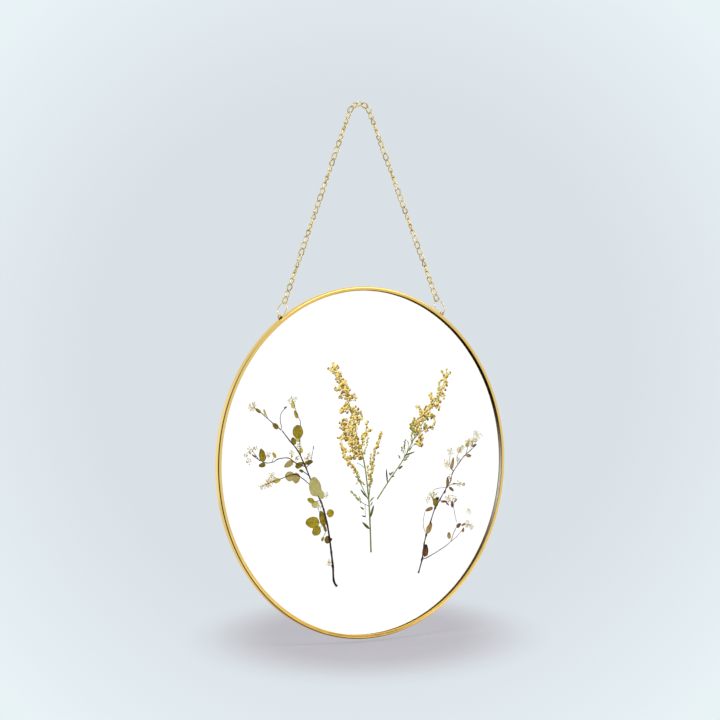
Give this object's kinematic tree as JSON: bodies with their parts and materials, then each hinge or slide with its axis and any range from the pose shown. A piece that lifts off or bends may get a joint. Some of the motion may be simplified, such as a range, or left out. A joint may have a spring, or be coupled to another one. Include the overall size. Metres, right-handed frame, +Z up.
{
  "type": "pressed flower frame",
  "caption": "Round double-glass frame in a thin brass rim, hanging on a chain, with dried sprigs pressed between the panes.",
  "frame": {"origin": "where a hook meets the underside of the chain's top bend", "axes": "+Z up along the hang, +X to the right across the glass, -Y out of the front pane"},
  "size_m": [0.25, 0.0116, 0.3814],
  "materials": {
    "brass": "satin gold brass",
    "glass": "clear polished glass",
    "dark_stem": "dried dark stem",
    "green_stem": "dried green stem",
    "olive_leaf": "dried olive leaf",
    "pale_leaf": "dried pale leaf",
    "brown_leaf": "dried brown leaf",
    "golden_bud": "dried yellow buds",
    "cream_petal": "dried cream petals"
  },
  "bodies": {
    "chain": {"chain_left": "brass", "chain_right": "brass", "chain_top": "brass", "jump_ring_left": "brass", "jump_ring_right": "brass"},
    "frame": {"glass_back": "glass", "glass_front": "glass", "lug_left": "brass", "lug_right": "brass", "rim": "brass", "sprig_branch_curled": "dark_stem", "sprig_branch_left": "dark_stem", "sprig_branch_lower": "dark_stem", "sprig_branch_middle": "dark_stem", "sprig_branch_upper": "dark_stem", "sprig_leaf_brown_left": "brown_leaf", "sprig_leaf_brown_right": "brown_leaf", "sprig_leaf_brown_upper": "brown_leaf", "sprig_leaf_olive_large": "olive_leaf", "sprig_leaf_olive_low": "olive_leaf", "sprig_leaf_olive_right": "olive_leaf", "sprig_leaf_olive_stem": "olive_leaf", "sprig_leaf_pale_large": "pale_leaf", "sprig_leaf_pale_low": "pale_leaf", "sprig_leaf_pale_small": "pale_leaf", "sprig_leaf_round_low": "olive_leaf", "sprig_leaf_round_top": "olive_leaf", "sprig_leaf_side": "olive_leaf", "sprig_leaf_tip_low": "olive_leaf", "sprig_leaf_tip_tall": "olive_leaf", "sprig_leaf_top_side": "olive_leaf", "sprig_side_shoot": "dark_stem", "sprig_stem": "dark_stem", "sprig_twig": "dark_stem", "tall_spray_branch_left": "golden_bud", "tall_spray_branch_low": "golden_bud", "tall_spray_branch_right": "golden_bud", "tall_spray_leaf_low": "green_stem", "tall_spray_leaf_right": "green_stem", "tall_spray_leaf_upper": "green_stem", "tall_spray_stem": "golden_bud", "twig_branch_low": "dark_stem", "twig_branch_middle": "dark_stem", "twig_branch_right": "dark_stem", "twig_leaf_loose": "brown_leaf", "twig_leaf_lower": "brown_leaf", "twig_leaf_middle": "brown_leaf", "twig_leaf_red": "brown_leaf", "twig_leaf_tip": "brown_leaf", "twig_leaf_upper": "brown_leaf", "twig_stem": "dark_stem", "twig_tendril_left": "dark_stem", "twig_tendril_upper": "dark_stem", "wide_spray_branch": "golden_bud", "wide_spray_leaf_low": "green_stem", "wide_spray_leaf_upper": "green_stem", "wide_spray_stem": "golden_bud"}
  },
  "joints": [
    {"name": "frame_tilt", "type": "hinge", "parent": "chain", "child": "frame", "pos_m": [0, 0, -0.14737], "axis": [1, 0, 0], "range_deg": [-30, 30]}
  ]
}
